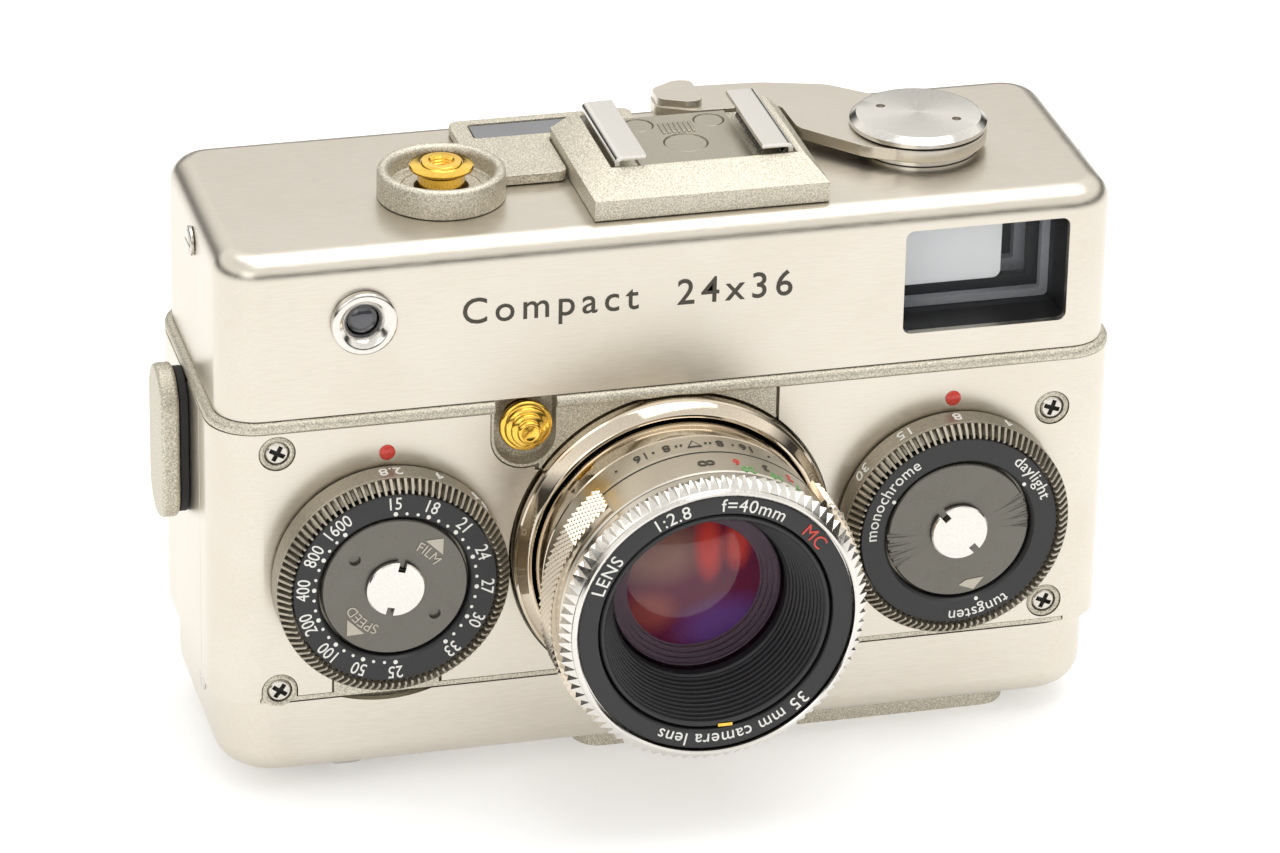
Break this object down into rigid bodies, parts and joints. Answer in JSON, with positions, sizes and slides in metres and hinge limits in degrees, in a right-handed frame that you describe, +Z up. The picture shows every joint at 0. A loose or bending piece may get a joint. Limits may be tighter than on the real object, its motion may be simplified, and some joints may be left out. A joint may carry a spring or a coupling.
{
  "type": "compact film camera",
  "caption": "Compact viewfinder camera for roll film in a cassette, with a collapsible lens, front setting dials, accessory shoe, folding rewind crank and slide-off back.",
  "frame": {"origin": "on the underside of the base platform, in the middle plane of the lens and halfway between the body's front and back faces", "axes": "+X to the right seen from the front, the lens points along -Y, +Z is up"},
  "size_m": [0.1019, 0.0523, 0.0684],
  "materials": {
    "satin_nickel": "satin, fine brushed",
    "grainy_champagne": "fine grained metallic lacquer",
    "polished_nickel": "polished, warm",
    "bright_chrome": "bright",
    "anodised_grey": "dark anodised, turned",
    "disc_grey": "anodised, satin",
    "black_lacquer": "satin black",
    "black_plastic": "matt, anti-reflection",
    "gold_plate": "gold plated",
    "black_rubber": "matt",
    "clear_glass": "clear",
    "coated_glass": "purple coated",
    "steel": "turned",
    "white_marks": "filled engraving",
    "red_marks": "enamel"
  },
  "bodies": {
    "camera_body": {"chassis": "grainy_champagne", "left_front_panel": "satin_nickel", "right_front_panel": "satin_nickel", "panel_screw_upper_left": "steel", "panel_screw_lower_left": "steel", "panel_screw_upper_right": "steel", "panel_screw_lower_right": "steel", "top_cover": "satin_nickel", "top_cover_screw_left": "steel", "top_cover_screw_right": "steel", "viewfinder_tunnel": "black_plastic", "viewfinder_front_lens": "clear_glass", "viewfinder_eyepiece": "black_plastic", "meter_cell_ring": "bright_chrome", "meter_cell": "black_plastic", "meter_plate": "grainy_champagne", "meter_window": "clear_glass", "accessory_shoe": "grainy_champagne", "shoe_rail_left": "bright_chrome", "shoe_rail_right": "bright_chrome", "shoe_contact_centre": "bright_chrome", "shoe_contact_left": "bright_chrome", "shoe_contact_right": "bright_chrome", "strap_lug": "grainy_champagne", "strap_lug_pad": "black_rubber", "battery": "steel", "pressure_plate": "black_plastic", "base_platform": "grainy_champagne", "tripod_socket": "steel", "release_cup": "grainy_champagne", "wind_collar": "steel", "lens_bezel": "polished_nickel"},
    "release_button": {"release_button": "gold_plate"},
    "wind_lever": {"wind_lever": "satin_nickel", "wind_hub": "bright_chrome"},
    "takeup_spool": {"takeup_spool": "black_plastic"},
    "aperture_dial": {"aperture_dial": "anodised_grey", "film_speed_ring": "black_lacquer", "aperture_dial_nut": "bright_chrome"},
    "film_speed_disc": {"film_speed_disc": "disc_grey"},
    "shutter_dial": {"shutter_dial": "anodised_grey", "film_type_ring": "black_lacquer", "shutter_dial_nut": "bright_chrome"},
    "film_type_disc": {"film_type_disc": "disc_grey"},
    "lens_guide": {"lens_guide_ring": "black_plastic"},
    "lens_tube": {"lens_tube": "polished_nickel", "shutter_unit": "black_plastic", "rear_lens": "clear_glass"},
    "focus_ring": {"focus_ring": "polished_nickel"},
    "front_cell": {"front_tooth_ring": "bright_chrome", "name_ring": "black_lacquer", "front_cone": "black_plastic", "front_lens": "coated_glass"},
    "lens_lock": {"lens_lock_button": "gold_plate"},
    "back_unit": {"back_cover": "satin_nickel", "base_cover": "satin_nickel"},
    "back_latch": {"back_latch": "steel"},
    "rewind_crank": {"rewind_crank": "anodised_grey"},
    "rewind_handle": {"rewind_handle": "steel"}
  },
  "joints": [
    {"name": "release_press", "type": "slide", "parent": "camera_body", "child": "release_button", "axis": [0, 0, -1], "range_m": [0, 0.0015], "stiffness_N_per_m": 600, "springref_m": -0.002},
    {"name": "wind_swing", "type": "hinge", "parent": "camera_body", "child": "wind_lever", "pos_m": [0.0307, -0.0002, 0.0647], "axis": [0, 0, -1], "range_deg": [0, 130], "stiffness_Nm_per_rad": 0.03, "springref_deg": -28.65},
    {"name": "spool_turn", "type": "hinge", "parent": "camera_body", "child": "takeup_spool", "pos_m": [0.0342, -0.002, 0.025], "axis": [0, 0, 1], "range_deg": [0, 330]},
    {"name": "aperture_turn", "type": "hinge", "parent": "camera_body", "child": "aperture_dial", "pos_m": [-0.0309, -0.018, 0.0262], "axis": [0, -1, 0], "range_deg": [0, 150]},
    {"name": "film_speed_turn", "type": "hinge", "parent": "aperture_dial", "child": "film_speed_disc", "pos_m": [-0.0309, -0.0195, 0.0262], "axis": [0, 1, 0], "range_deg": [-48, 94]},
    {"name": "shutter_turn", "type": "hinge", "parent": "camera_body", "child": "shutter_dial", "pos_m": [0.0309, -0.018, 0.0262], "axis": [0, 1, 0], "range_deg": [-84, 168]},
    {"name": "film_type_turn", "type": "hinge", "parent": "shutter_dial", "child": "film_type_disc", "pos_m": [0.0309, -0.0195, 0.0262], "axis": [0, 1, 0], "continuous": true},
    {"name": "lens_collapse", "type": "slide", "parent": "camera_body", "child": "lens_guide", "axis": [0, 1, 0], "range_m": [0, 0.0074]},
    {"name": "lens_twist", "type": "hinge", "parent": "lens_guide", "child": "lens_tube", "pos_m": [0, -0.015, 0.0262], "axis": [0, -1, 0], "range_deg": [0, 45]},
    {"name": "focus_turn", "type": "hinge", "parent": "lens_tube", "child": "focus_ring", "pos_m": [0, -0.029, 0.0262], "axis": [0, -1, 0], "range_deg": [0, 90]},
    {"name": "focus_travel", "type": "slide", "parent": "focus_ring", "child": "front_cell", "axis": [0, -1, 0], "range_m": [0, 0.0016]},
    {"name": "lens_lock_press", "type": "slide", "parent": "camera_body", "child": "lens_lock", "axis": [0, 1, 0], "range_m": [0, 0.0012], "stiffness_N_per_m": 600, "springref_m": -0.002},
    {"name": "back_slide", "type": "slide", "parent": "camera_body", "child": "back_unit", "axis": [0, 0, -1], "range_m": [0, 0.06]},
    {"name": "latch_turn", "type": "hinge", "parent": "back_unit", "child": "back_latch", "pos_m": [-0.017, -0.002, 0.002], "axis": [0, 0, 1], "range_deg": [0, 90]},
    {"name": "crank_turn", "type": "hinge", "parent": "camera_body", "child": "rewind_crank", "pos_m": [-0.0342, -0.002, 0.003], "axis": [0, 0, 1], "continuous": true},
    {"name": "crank_handle_fold", "type": "hinge", "parent": "rewind_crank", "child": "rewind_handle", "pos_m": [-0.0342, 0.0028, 0.0017], "axis": [1, 0, 0], "range_deg": [0, 120]}
  ],
  "couplings": [
    {"joint": "spool_turn", "follows": "wind_swing", "ratio": 2.5},
    {"joint": "focus_travel", "follows": "focus_turn", "m_per_rad": 0.00095}
  ]
}
